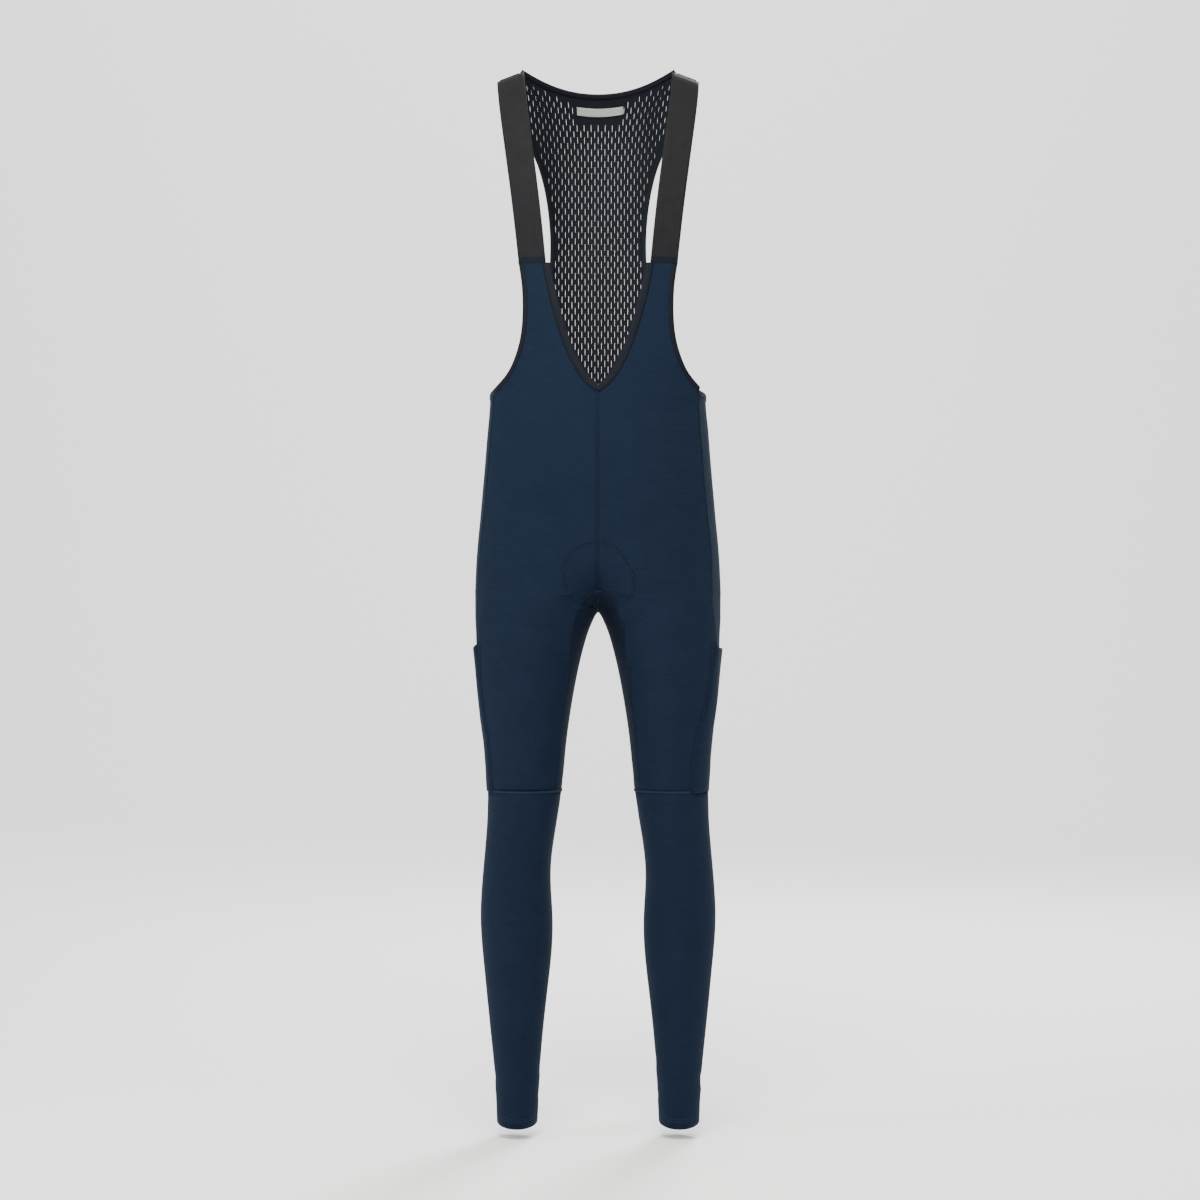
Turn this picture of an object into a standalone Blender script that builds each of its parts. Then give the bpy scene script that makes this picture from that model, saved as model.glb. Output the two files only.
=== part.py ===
"""Thermal bib tights. The cloth keeps the hollow shape that it has when it is worn.

The frame has its origin between the shoulders, where the two straps rest. The front faces -Y,
the wearer's left is +X and +Z is up. Sizes are in millimetres, and a drop is a depth below the
shoulders. Every panel is a grid of points on one figure, given a wall and cut 0.3 mm apart.
"""

import math

import bmesh
import bpy
import numpy as np

MM = 0.001

# Walls of the cloth and the strip that is kept open at every seam.
PANEL_WALL = 1.8
STRAP_WALL = 1.6
MESH_WALL = 1.4
BINDING_WALL = 2.6
POCKET_WALL = 1.6
LABEL_WALL = 1.0
SEAM_GAP = 0.3

# Levels that the pieces are cut to.
NET_TOP = 25.0
NECK_BOTTOM = 438.0
GUSSET_TOP = 696.0
FORK = 727.0
KNEE_SEAM = 963.0
HEM = 1411.0
HEM_TILT = 7.0
HEM_TILT_REACH = 130.0
POCKET_LINE_FROM = 640.0
POCKET_LINE_REACH = 110.0

NECK_BINDING = 9.5
BACK_NECK_BINDING = 7.0
ARM_BINDING = 6.0
STRAP_WIDTH = 38.0
SHOULDER_SEAM_GAP = 0.9
BACK_NECK_GAP = 0.5

LABEL_WIDTH = 64.0
LABEL_HEIGHT = 12.0
LABEL_TOP = 38.0
LABEL_OFFSET = 2.5

POCKET_FLARE = 3.0
POCKET_FLARE_REACH = 16.0
MOUTH_SHARE_FRONT = 0.15
MOUTH_SHARE_BACK = 0.7

# How soon the inner-leg panel leaves the fork, how the back bends from its middle toward the
# shoulder line in x, y and drop, and which way the back and the straps face.
FORK_HASTE = 2.2
BACK_POWERS = (1.0, 2.4, 2.0)
BACK_FACES = (0, 1, 0.3)
STRAP_FACES = (0, -1, 0.6)

# How many strips of cloth each panel is divided into, across and down.
FRONT_INNER_COLUMNS = 4
FRONT_OUTER_COLUMNS = 3
BACK_OUTER_COLUMNS = 3
BACK_INNER_COLUMNS = 6
GUSSET_COLUMNS = 8
LEG_COLUMNS = 24
LEG_ROWS = 13
MESH_INNER_COLUMNS = 6
MESH_STRAP_COLUMNS = 2
MESH_ROWS = 20
STRAP_COLUMNS = 3
STRAP_ROWS = 14
LABEL_COLUMNS = 4
TORSO_ROWS = 11

# How finely a line is traced before it is divided, how often the reach of the figure is halved
# to find its surface, and how far beyond a plain section that search starts.
FINE_POINTS = 61
HALVINGS = 26
WIDEST_SHARE = 1.4

BIB_LEVELS = (268, 286, 304, 326, 350, 374, 396, 411, 423, 432)
THIGH_LEVELS = (704, 713, 725, 741, 762, 786, 811, 836, 861, 886, 911, 937, 963)
POCKET_FIRST_LEVEL = 786

SIDES = {"left": 1, "right": -1}

COLOURS = {
    "thermal_navy": ((0.013, 0.030, 0.065), 0.75),
    "thermal_dark": ((0.010, 0.020, 0.042), 0.80),
    "elastic_charcoal": ((0.027, 0.027, 0.032), 0.85),
    "mesh_black": ((0.012, 0.013, 0.016), 0.80),
    "binding_black": ((0.010, 0.011, 0.015), 0.70),
    "binding_slate": ((0.014, 0.020, 0.032), 0.65),
    "label_grey": ((0.33, 0.33, 0.34), 0.90),
}

# The figure: half a section at each level. The centre is the middle of one half, inside and
# side are where the section starts and ends across, front and back are its depths, the power
# squares it off, and the blend rounds the fork where the two halves meet.
FIGURE = {
    "names": ("drop", "centre", "inside", "side", "front", "back", "power", "blend"),
    "rows": (
        (240, 0, -150, 150, -101, 103, 2.5, 1),
        (330, 0, -147, 147, -108, 92, 2.45, 1),
        (441, 0, -144.5, 144.5, -109, 82, 2.4, 1),
        (495, 0, -149, 149, -110, 86, 2.35, 1),
        (548, 0, -153.8, 153.8, -108, 98, 2.3, 1),
        (585, 0, -157.5, 157.5, -105, 109, 2.3, 1),
        (620, 12, -133, 161.6, -101, 117, 2.3, 4),
        (660, 35, -75, 165, -97, 120, 2.25, 12),
        (690, 58, -29, 166.2, -94, 118, 2.2, 12),
        (710, 70, -5, 166.2, -93, 114, 2.2, 11),
        (719, 75, -1, 166, -92.5, 112, 2.2, 10),
        (735, 84, 7.5, 165.5, -92, 107, 2.2, 8),
        (762, 91, 17.8, 164, -91, 99, 2.15, 4),
        (789, 94, 24.5, 163, -89, 91, 2.15, 2),
        (816, 96, 30.3, 161.5, -87, 84, 2.1, 1),
        (843, 97, 35.2, 158.8, -85, 77, 2.1, 1),
        (896, 97.5, 42.9, 151.2, -79, 65, 2.1, 1),
        (950, 98, 48, 147.6, -73, 54, 2.1, 1),
        (977, 98.7, 51.1, 146.3, -70, 51, 2.1, 1),
        (1030, 104.8, 60, 149.6, -63, 50, 2.1, 1),
        (1057, 108.3, 64.4, 152.2, -58, 53, 2.1, 1),
        (1084, 109.9, 64.8, 154.9, -53, 59, 2.05, 1),
        (1111, 109.9, 62.6, 157, -48, 65, 2.05, 1),
        (1138, 109.6, 61, 158.1, -44, 70, 2.05, 1),
        (1165, 109, 61.4, 156.6, -40, 71, 2.05, 1),
        (1191, 108.7, 63.5, 153.9, -36, 69, 2.05, 1),
        (1246, 109.4, 70, 148.8, -27, 63, 2.0, 1),
        (1300, 109.5, 75.9, 143.3, -18, 60, 2.0, 1),
        (1354, 108.9, 79.8, 138.1, -11, 62, 2.0, 1),
        (1425, 109, 82.9, 135.5, -6, 67, 2.0, 1),
    ),
}

# Seams that run down the legs, as angles on a half section: 0 is straight out to the side, and
# -90 is straight ahead. The wearer's left leg is seen turned a little more to the front.
LINES = {
    "names": ("drop", "side_left", "side_right", "pocket_left", "pocket_right", "back_line"),
    "rows": (
        (438, -27, -20, -50, -50, 31.6),
        (620, -27, -20, -50, -45, 36),
        (740, -36, -24, -38.5, -27, 44),
        (780, -25, -14, -38.5, -27, 47),
        (825, -22, -9, -41.5, -27, 48),
        (870, -20, -7, -52, -29, 49),
        (896, -20, -7, -58, -31, 50),
        (923, -20, -7, -61, -33, 50),
        (963, -20, -7, -62, -34, 50),
    ),
}

# Where the panel edges lie across the front: the neck edge and the arm edge of the bib.
NECK_EDGE = {
    "names": ("drop", "across"),
    "rows": (
        (268, 72.6),
        (300, 66.5),
        (326, 60),
        (347, 54.1),
        (372, 46),
        (395, 36.5),
        (413, 26.1),
        (427, 16.1),
        (438, 0),
    ),
}
ARM_EDGE = {
    "names": ("drop", "across"),
    "rows": (
        (268, 98),
        (290, 94.4),
        (317, 92.4),
        (343, 92.8),
        (370, 96),
        (396, 104.4),
        (411, 111.5),
        (423, 121),
        (432, 131),
    ),
}

# The inner-leg panel: how far its seams lie from the middle, in front and behind.
GUSSET_SEAM = {
    "names": ("drop", "front", "back"),
    "rows": (
        (696, 0, 0),
        (704, 18, 15),
        (713, 23.5, 22),
        (725, 28.5, 28),
        (741, 36, 34),
        (762, 39, 38),
        (811, 39.5, 41),
        (843, 43.8, 44),
        (879, 49.2, 49),
        (914, 51.5, 52),
        (963, 57, 57),
    ),
}

# How far the rows of the back panels rise or fall on their way to the middle of the back.
BACK_SHIFT = {
    "names": ("drop", "at_line", "at_middle"),
    "rows": (
        (438, 12, 12),
        (528, 1, 1),
        (600, -1, -8),
        (696, -6, -31),
        (741, -5, -24),
        (836, -1, -4),
        (900, 0, 0),
        (963, 0, 0),
    ),
}

# The perforated back from the neck down: each row runs from the middle of the back past the
# line of the strap's inner edge to the arm edge.
BACK_NET = {
    "names": ("drop", "middle_y", "line_x", "line_y", "line_drop", "edge_x", "edge_y", "edge_drop"),
    "rows": (
        (25, 80, 105, 8, 2.8, 130, 8, 12.4),
        (50, 92, 90, 42, 29, 114, 36, 41),
        (78, 101, 75, 70, 60, 97.5, 58, 70),
        (106, 105, 64, 87, 91, 84.5, 73, 96),
        (134, 107, 55, 96, 121, 74, 84, 121),
        (170, 108, 48, 101, 164, 64, 93, 164),
        (216, 106, 44.5, 101, 216, 59.3, 96, 216),
        (270, 99, 45.5, 95.5, 270, 61, 91, 270),
        (330, 92, 55, 88.5, 330, 74, 84, 330),
        (367, 87.5, 67, 81, 367, 89.5, 74.5, 367),
        (404, 84, 82, 73, 404, 109, 60.5, 404),
        (450, 82, 95.5, 64.5, 450, 127, 42.4, 450),
    ),
}

# The middle of the strap from the bib over the shoulder. Turn swings its outer edge back and
# roll lets it drop, both in degrees.
STRAP = {
    "names": ("share", "x", "y", "drop", "turn", "roll"),
    "rows": (
        (0.00, 86.2, -91.5, 268, 20, 0),
        (0.20, 92, -97, 212, 17, 0),
        (0.40, 98.4, -95, 159, 15, 2),
        (0.60, 105.7, -80, 105, 14, 5),
        (0.80, 113.4, -46, 47, 10, 13),
        (0.92, 117, -14, 13, 3, 20),
        (1.00, 117.5, 8, 7.5, 0, 21),
    ),
}


def column(table, name, at):
    """A smooth reading of one named column, with no overshoot between the rows."""
    rows = np.array(table["rows"], float)
    x = rows[:, 0]
    y = rows[:, table["names"].index(name)]
    at = np.clip(np.asarray(at, float), x[0], x[-1])
    step = np.diff(x)
    rise = np.diff(y) / step
    product = rise[:-1] * rise[1:]
    total = np.where(product > 0, rise[:-1] + rise[1:], 1)
    slope = np.concatenate([rise[:1], np.where(product > 0, 2 * product / total, 0), rise[-1:]])
    i = np.clip(np.searchsorted(x, at, side="right") - 1, 0, len(step) - 1)
    t = (at - x[i]) / step[i]
    bend_in = slope[i] - rise[i]
    bend_out = slope[i + 1] - rise[i]
    curve = y[i] + (at - x[i]) * rise[i]
    return curve + t * (1 - t) * step[i] * (bend_in * (1 - t) - bend_out * t)


def ease(t):
    """A share from 0 to 1 that starts and ends gently."""
    t = np.clip(t, 0, 1)
    return t * t * (3 - 2 * t)


def half_sizes(drop, inward, forward):
    """The centre of a half section and its reach toward the given sides."""
    centre = column(FIGURE, "centre", drop)
    front = column(FIGURE, "front", drop)
    back = column(FIGURE, "back", drop)
    middle = (front + back) / 2
    inner = centre - column(FIGURE, "inside", drop)
    outer = column(FIGURE, "side", drop) - centre
    across = np.where(inward, inner, outer)
    deep = np.where(forward, middle - front, back - middle)
    return centre, middle, across, deep


def half_figure(x, y, drop):
    """How far a point lies outside one half of the figure, negative inside it."""
    centre = column(FIGURE, "centre", drop)
    middle = (column(FIGURE, "front", drop) + column(FIGURE, "back", drop)) / 2
    centre, middle, across, deep = half_sizes(drop, x < centre, y < middle)
    power = column(FIGURE, "power", drop)
    size = (np.abs((x - centre) / across) ** power + np.abs((y - middle) / deep) ** power) ** (1 / power)
    return (size - 1) * np.minimum(across, deep)


def figure(points):
    """How far points lie outside the whole figure: both halves, blended at the fork."""
    x, y, drop = points[..., 0], points[..., 1], -points[..., 2]
    one = half_figure(x, y, drop)
    other = half_figure(-x, y, drop)
    blend = column(FIGURE, "blend", drop)
    near = np.maximum(blend - np.abs(one - other), 0)
    return np.minimum(one, other) - near * near / (4 * blend)


def slope_of_figure(points):
    """The gradient of the figure, by small steps both ways along each axis."""
    step = 0.2
    parts = []
    for axis in range(3):
        move = np.zeros(3)
        move[axis] = step
        parts.append((figure(points + move) - figure(points - move)) / (2 * step))
    return np.stack(parts, axis=-1)


def unit(vectors):
    return vectors / np.maximum(np.linalg.norm(vectors, axis=-1, keepdims=True), 1e-9)


def figure_normals(points):
    return unit(slope_of_figure(points))


def settle(points, rounds=8):
    """Points moved straight onto the figure."""
    for _ in range(rounds):
        slope = slope_of_figure(points)
        size = np.maximum((slope * slope).sum(-1, keepdims=True), 1e-9)
        points = points - figure(points)[..., None] * slope / size
    return points


def on_figure(angle, drop):
    """Points on the wearer's left half at an angle in degrees and a drop."""
    angle, drop = np.broadcast_arrays(np.asarray(angle, float), np.asarray(drop, float))
    turn = np.radians(angle)
    inward = np.cos(turn) < 0
    forward = np.sin(turn) < 0
    centre, middle, across, deep = half_sizes(drop, inward, forward)
    power = 2 / column(FIGURE, "power", drop)
    reach_x = across * np.sign(np.cos(turn)) * np.abs(np.cos(turn)) ** power
    reach_y = deep * np.sign(np.sin(turn)) * np.abs(np.sin(turn)) ** power
    low = np.ones(angle.shape)
    high = low * WIDEST_SHARE
    for _ in range(HALVINGS):
        share = (low + high) / 2
        points = np.stack([centre + share * reach_x, middle + share * reach_y, -drop], axis=-1)
        inside = figure(points) < 0
        low = np.where(inside, share, low)
        high = np.where(inside, high, share)
    return points


def angle_at(x, drop, behind=False):
    """The angle on a half section at which the front, or the back, is x from the middle."""
    angles = np.linspace(-179, -1, 357)
    if behind:
        angles = -angles
    points = on_figure(angles, np.full(angles.shape, float(drop)))
    return float(np.interp(x, np.maximum.accumulate(points[:, 0]), angles))


def evenly(points, count):
    """A polyline divided into stretches of equal length."""
    along = np.concatenate([[0], np.cumsum(np.linalg.norm(np.diff(points, axis=0), axis=1))])
    at = np.linspace(0, along[-1], count + 1)
    return np.stack([np.interp(at, along, points[:, k]) for k in range(3)], axis=1)


def run(start, end, drop_start, drop_end, count):
    """Points evenly spaced on the figure from one angle and drop to another."""
    share = np.linspace(0, 1, FINE_POINTS)
    angles = start + (end - start) * share
    drops = drop_start + (drop_end - drop_start) * ease(share)
    return evenly(on_figure(angles, drops), count)


def torso_levels():
    return np.linspace(NECK_BOTTOM, GUSSET_TOP, TORSO_ROWS + 1)


def front_levels():
    return np.concatenate([BIB_LEVELS, torso_levels(), THIGH_LEVELS])


def back_levels():
    return np.concatenate([torso_levels(), THIGH_LEVELS])


def front_inner_angle(level):
    if level < NECK_BOTTOM:
        return angle_at(column(NECK_EDGE, "across", level), level)
    if level <= GUSSET_TOP:
        return angle_at(0, level)
    return angle_at(column(GUSSET_SEAM, "front", level), level)


def front_row(side, level):
    """One row of a front panel, from its inner edge over the pocket line to the side."""
    start = front_inner_angle(level)
    if level < NECK_BOTTOM:
        end = angle_at(column(ARM_EDGE, "across", level), level)
    else:
        end = float(column(LINES, f"side_{side}", level))
    columns = FRONT_INNER_COLUMNS + FRONT_OUTER_COLUMNS
    fine = np.linspace(0, 1, FINE_POINTS)
    whole = on_figure(start + (end - start) * fine, np.full(FINE_POINTS, float(level)))
    along = np.concatenate([[0], np.cumsum(np.linalg.norm(np.diff(whole, axis=0), axis=1))])
    even = start + (end - start) * np.interp(FRONT_INNER_COLUMNS / columns, along / along[-1], fine)
    low_on_leg = float(ease((level - POCKET_LINE_FROM) / POCKET_LINE_REACH))
    line = even + (float(column(LINES, f"pocket_{side}", level)) - even) * low_on_leg
    inner = run(start, line, level, level, FRONT_INNER_COLUMNS)
    outer = run(line, end, level, level, FRONT_OUTER_COLUMNS)
    return np.concatenate([inner, outer[1:]])


def back_row(side, level):
    """One row of a back panel, from the side over the back line to its inner edge."""
    start = float(column(LINES, f"side_{side}", level))
    line = float(column(LINES, "back_line", level))
    at_line = level + float(column(BACK_SHIFT, "at_line", level))
    at_middle = level + float(column(BACK_SHIFT, "at_middle", level))
    across = 0.0 if level <= GUSSET_TOP else column(GUSSET_SEAM, "back", level)
    end = angle_at(across, at_middle, behind=True)
    outer = run(start, line, level, at_line, BACK_OUTER_COLUMNS)
    inner = run(line, end, at_line, at_middle, BACK_INNER_COLUMNS)
    return np.concatenate([outer, inner[1:]])


def mirrored(points, sign):
    return points * np.array([sign, 1, 1])


def front_grid(side):
    grid = np.stack([front_row(side, level) for level in front_levels()])
    grid[(front_levels() >= NECK_BOTTOM) & (front_levels() <= GUSSET_TOP), 0, 0] = 0
    return mirrored(grid, SIDES[side])


def back_grid(side):
    grid = np.stack([back_row(side, level) for level in back_levels()])
    grid[back_levels() <= GUSSET_TOP, -1, 0] = 0
    return mirrored(grid, SIDES[side])


def gusset_row(front_point, back_point, share):
    """One row of the inner-leg panel: from its front seam under the fork to its back seam."""
    middle = (front_point + back_point) / 2
    fork = np.array([0.0, middle[1], -FORK])
    low = np.array([column(FIGURE, "inside", -middle[2]), middle[1], middle[2]])
    inner = fork + (low - fork) * ease(share * FORK_HASTE)
    turn = np.linspace(0, math.pi, 41)[:, None]
    guess = middle + (front_point - middle) * np.cos(turn) + (inner - middle) * np.sin(turn)
    for _ in range(3):
        guess[1:-1] = settle(guess[1:-1])
        guess = evenly(guess, 40)
    row = evenly(guess, GUSSET_COLUMNS)
    row[1:-1] = settle(row[1:-1])
    return row


def gusset_half(front_points, back_points):
    count = len(front_points)
    rows = [gusset_row(front_points[k], back_points[k], k / (count - 1)) for k in range(count)]
    return np.stack(rows)


def gusset_grid(fronts, backs):
    """Both inner-leg halves, joined under the fork: rows from the right knee to the left."""
    first_front = len(front_levels()) - len(THIGH_LEVELS) - 1
    first_back = len(back_levels()) - len(THIGH_LEVELS) - 1
    half = gusset_half(fronts["left"][first_front:, 0], backs["left"][first_back:, -1])
    half[0, :, 0] = 0
    other = mirrored(half, -1)[::-1]
    return np.concatenate([other, half[1:]])


def leg_grid(side):
    """The lower leg as a tube of even columns, its hem lower in front."""
    rows = []
    angles = np.linspace(-180, 180, 181)
    for level in np.linspace(KNEE_SEAM, HEM, LEG_ROWS + 1):
        tilt = HEM_TILT * ease((level - HEM + HEM_TILT_REACH) / HEM_TILT_REACH)
        drops = level - tilt * np.sin(np.radians(angles))
        rows.append(evenly(on_figure(angles, drops), LEG_COLUMNS)[:-1])
    return mirrored(np.stack(rows), SIDES[side])


def net_row(level):
    """One row of the perforated back, on the wearer's left half."""
    line = np.array([column(BACK_NET, f"line_{name}", level) for name in ("x", "y", "drop")])
    edge = np.array([column(BACK_NET, f"edge_{name}", level) for name in ("x", "y", "drop")])
    middle = np.array([0.0, column(BACK_NET, "middle_y", level), level])
    share = np.linspace(0, 1, MESH_INNER_COLUMNS + 1)[:, None]
    inner = middle + (line - middle) * share ** np.array(BACK_POWERS)
    share = np.linspace(0, 1, MESH_STRAP_COLUMNS + 1)[1:, None]
    row = np.concatenate([inner, line + (edge - line) * share])
    return row * np.array([1, 1, -1])


def net_grid():
    """The whole perforated back, each row from the wearer's right arm edge to the left."""
    rows = []
    for level in np.linspace(BACK_NET["rows"][0][0], BACK_NET["rows"][-1][0], MESH_ROWS + 1):
        half = net_row(level)
        rows.append(np.concatenate([mirrored(half, -1)[:0:-1], half]))
    return np.stack(rows)


def strap_grid(side):
    """The strap as a ribbon: rows from the bib over the shoulder, columns outward."""
    rows = []
    for share in np.linspace(0, 1, STRAP_ROWS + 1):
        names = ("x", "y", "drop", "turn", "roll")
        x, y, drop, turn, roll = (float(column(STRAP, name, share)) for name in names)
        turn, roll = math.radians(turn), math.radians(roll)
        across = np.array([math.cos(turn), math.sin(turn), 0]) * math.cos(roll)
        across[2] = -math.sin(roll)
        places = np.linspace(-0.5, 0.5, STRAP_COLUMNS + 1)[:, None] * STRAP_WIDTH
        rows.append(np.array([x, y, -drop]) + places * across)
    return mirrored(np.stack(rows), SIDES[side])


def grid_normals(grid, outward):
    """Normals of a grid from its own points, on the side that outward points to."""
    down = np.gradient(grid, axis=0)
    over = np.gradient(grid, axis=1)
    normals = unit(np.cross(down, over))
    return normals * np.sign((normals * outward).sum(-1).mean())


def pull_in(grid, ends, sides, gap=SEAM_GAP / 2):
    """The grid with its outermost points moved inward along the cloth."""
    pulled = grid.copy()
    pairs = []
    if ends:
        pairs += [((0,), (1,)), ((-1,), (-2,))]
    if sides:
        pairs += [((slice(None), 0), (slice(None), 1)), ((slice(None), -1), (slice(None), -2))]
    for edge, beside in pairs:
        pulled[edge] += unit(grid[beside] - grid[edge]) * gap
    return pulled


def grid_faces(rows, columns, closed):
    around = columns if closed else columns - 1
    faces = []
    for r in range(rows - 1):
        for c in range(around):
            d = (c + 1) % columns
            faces.append((r * columns + c, r * columns + d, (r + 1) * columns + d, (r + 1) * columns + c))
    return faces


def finish(name, mesh, cloth):
    mesh.shade_smooth()
    mesh.set_sharp_from_angle(angle=math.radians(50))
    mesh.materials.append(cloth)
    piece = bpy.data.objects.new(name, mesh)
    bpy.context.scene.collection.objects.link(piece)
    return piece


def wall(name, grid, normals, thickness, cloth, closed=False, gap=SEAM_GAP / 2):
    """A grid of points made into one closed piece of cloth of the given thickness."""
    middle = pull_in(grid, ends=True, sides=not closed, gap=gap)
    outer = (middle + normals * thickness / 2).reshape(-1, 3) * MM
    inner = (middle - normals * thickness / 2).reshape(-1, 3) * MM
    bm = bmesh.new()
    place = bm.verts.layers.int.new("place")
    verts = [bm.verts.new(point) for point in outer]
    for i, vert in enumerate(verts):
        vert[place] = i
    for face in grid_faces(grid.shape[0], grid.shape[1], closed):
        bm.faces.new([verts[i] for i in face])
    moved = bmesh.ops.extrude_face_region(bm, geom=bm.faces[:])["geom"]
    for vert in moved:
        if isinstance(vert, bmesh.types.BMVert):
            vert.co = inner[vert[place]]
    bmesh.ops.recalc_face_normals(bm, faces=bm.faces[:])
    mesh = bpy.data.meshes.new(name)
    bm.to_mesh(mesh)
    bm.free()
    return finish(name, mesh, cloth)


def binding_grid(edge, normals, width, away_from, flat_ends):
    """A strip along an edge, as wide as the tape that shows, and its normals.

    Its two ends are cut square to an axis, so that they meet a strap's end.
    """
    along = unit(np.gradient(edge, axis=0))
    out = unit(np.cross(along, normals))
    if (out[0] * (edge[0] - away_from)).sum() < 0:
        out = -out
    for end, axis in zip((0, -1), flat_ends):
        out[end, axis] = 0
        out[end] = unit(out[end])
    strip = np.stack([edge, edge + out * width], axis=1)
    return strip, np.stack([normals, normals], axis=1)


def pocket_grid(side, front, back):
    """The thigh pocket, from the points of the panels that it lies on.

    The first row is its slanted mouth, between two rows of the panels.
    """
    levels = list(THIGH_LEVELS)
    first = levels.index(POCKET_FIRST_LEVEL)
    skip_front = len(front_levels()) - len(levels) + first
    skip_back = len(back_levels()) - len(levels) + first
    over = np.concatenate(
        [front[skip_front - 1:, FRONT_INNER_COLUMNS:], back[skip_back - 1:, 1:BACK_OUTER_COLUMNS + 1]],
        axis=1,
    )
    share = np.linspace(MOUTH_SHARE_FRONT, MOUTH_SHARE_BACK, over.shape[1])[:, None]
    mouth = over[0] + (over[1] - over[0]) * share
    return np.concatenate([mouth[None], over[1:]])


def pocket_lift(grid):
    """How far each point of the pocket stands off the panels under it."""
    lift = PANEL_WALL / 2 + SEAM_GAP + POCKET_WALL / 2
    below = np.linalg.norm(grid - grid[:1], axis=-1)
    across = np.linspace(0, math.pi, grid.shape[1])
    gape = POCKET_FLARE * np.sin(across) ** 0.5
    return lift + gape * np.exp(-((below / POCKET_FLARE_REACH) ** 2))


def label_grid(net, normals):
    """The size label inside the back, from points of the net at even distances."""
    middle = net[:, MESH_INNER_COLUMNS + MESH_STRAP_COLUMNS]
    down = np.cumsum(np.linalg.norm(np.diff(middle, axis=0), axis=1))
    rows = []
    across = np.linspace(-0.5, 0.5, LABEL_COLUMNS + 1) * LABEL_WIDTH + LABEL_OFFSET
    for part in (0, 0.5, 1):
        share = (LABEL_TOP - NET_TOP + part * LABEL_HEIGHT) / down[0]
        k = int(share)
        row = net[k] + (net[k + 1] - net[k]) * (share - k)
        out = normals[k] + (normals[k + 1] - normals[k]) * (share - k)
        lift = (MESH_WALL + LABEL_WALL) / 2 + SEAM_GAP
        moved = row - unit(out) * lift
        rows.append(np.stack([np.interp(across, row[:, 0], moved[:, j]) for j in range(3)], axis=1))
    return np.stack(rows)


def material(name):
    colour, roughness = COLOURS[name]
    made = bpy.data.materials.new(name)
    made.use_nodes = True
    shader = made.node_tree.nodes["Principled BSDF"]
    shader.inputs["Base Color"].default_value = (*colour, 1)
    shader.inputs["Roughness"].default_value = roughness
    shader.inputs["Metallic"].default_value = 0.0
    return made


def build():
    navy = material("thermal_navy")
    dark = material("thermal_dark")
    elastic = material("elastic_charcoal")
    black = material("binding_black")

    fronts = {side: front_grid(side) for side in SIDES}
    backs = {side: back_grid(side) for side in SIDES}
    net = net_grid()
    net_normals = grid_normals(net, np.array(BACK_FACES))

    for side in SIDES:
        wall(f"front_{side}", fronts[side], figure_normals(fronts[side]), PANEL_WALL, navy)
        wall(f"back_{side}", backs[side], figure_normals(backs[side]), PANEL_WALL, navy)
        leg = leg_grid(side)
        wall(f"lower_leg_{side}", leg, figure_normals(leg), PANEL_WALL, navy, closed=True)

    gusset = gusset_grid(fronts, backs)
    wall("gusset", gusset, figure_normals(gusset), PANEL_WALL, dark)
    wall("back_net", net, net_normals, MESH_WALL, material("mesh_black"))

    for side in SIDES:
        pocket = pocket_grid(side, fronts[side], backs[side])
        out = figure_normals(pocket)
        wall(f"pocket_{side}", pocket + out * pocket_lift(pocket)[..., None], out, POCKET_WALL, navy)
        strap = strap_grid(side)
        strap_out = grid_normals(strap, np.array(STRAP_FACES))
        strap[-1] += unit(strap[-2] - strap[-1]) * SHOULDER_SEAM_GAP
        wall(f"strap_{side}", strap, strap_out, STRAP_WALL, elastic)
        make_arm_binding(side, fronts[side], backs[side], net, net_normals, black)

    make_front_neck_binding(fronts, material("binding_slate"))
    make_back_neck_binding(net, net_normals, black)
    label = label_grid(net, net_normals)
    wall("label", label, grid_normals(label, np.array(BACK_FACES)), LABEL_WALL, material("label_grey"))


def make_arm_binding(side, front, back, net, net_normals, tape):
    """The tape round an armhole: down the bib, under the arm and up the back."""
    bib_rows = len(BIB_LEVELS) + 1
    bib = front[:bib_rows, -1]
    under = back[0, 1:BACK_OUTER_COLUMNS]
    last = -1 if side == "left" else 0
    up = net[::-1, last]
    edge = np.concatenate([bib, under, up])
    normals = np.concatenate([figure_normals(bib), figure_normals(under), net_normals[::-1, last]])
    strip, out = binding_grid(edge, normals, ARM_BINDING, front[0, -2], (2, 1))
    wall(f"binding_arm_{side}", strip, out, BINDING_WALL, tape)


def make_front_neck_binding(fronts, tape):
    """The tape along the deep neck, from one strap round the bottom to the other."""
    bib_rows = len(BIB_LEVELS) + 1
    left = fronts["left"][:bib_rows, 0]
    right = fronts["right"][:bib_rows, 0]
    edge = np.concatenate([left, right[-2::-1]])
    away_from = fronts["left"][0, 1]
    strip, out = binding_grid(edge, figure_normals(edge), NECK_BINDING, away_from, (2, 2))
    wall("binding_neck_front", strip, out, BINDING_WALL, tape)


def make_back_neck_binding(net, net_normals, tape):
    """The tape along the back of the neck, between the straps."""
    inner = slice(MESH_STRAP_COLUMNS, -MESH_STRAP_COLUMNS)
    edge = net[0, inner]
    away_from = net[1, MESH_STRAP_COLUMNS]
    strip, out = binding_grid(edge, net_normals[0, inner], BACK_NECK_BINDING, away_from, (1, 1))
    wall("binding_neck_back", strip, out, BINDING_WALL, tape, gap=BACK_NECK_GAP)


for old in list(bpy.data.objects):
    bpy.data.objects.remove(old, do_unlink=True)
build()
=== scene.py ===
# %% [markdown]
# # Thermal bib tights in Blender
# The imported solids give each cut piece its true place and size. This script dresses them: every
# panel becomes a fine shell of knitted cloth with soft creases, the back gets its real holes, and
# the sewing is laid over the seams. The front faces -Y, the wearer's left is +X and +Z is up.

# %% Load the frame
import math

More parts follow.
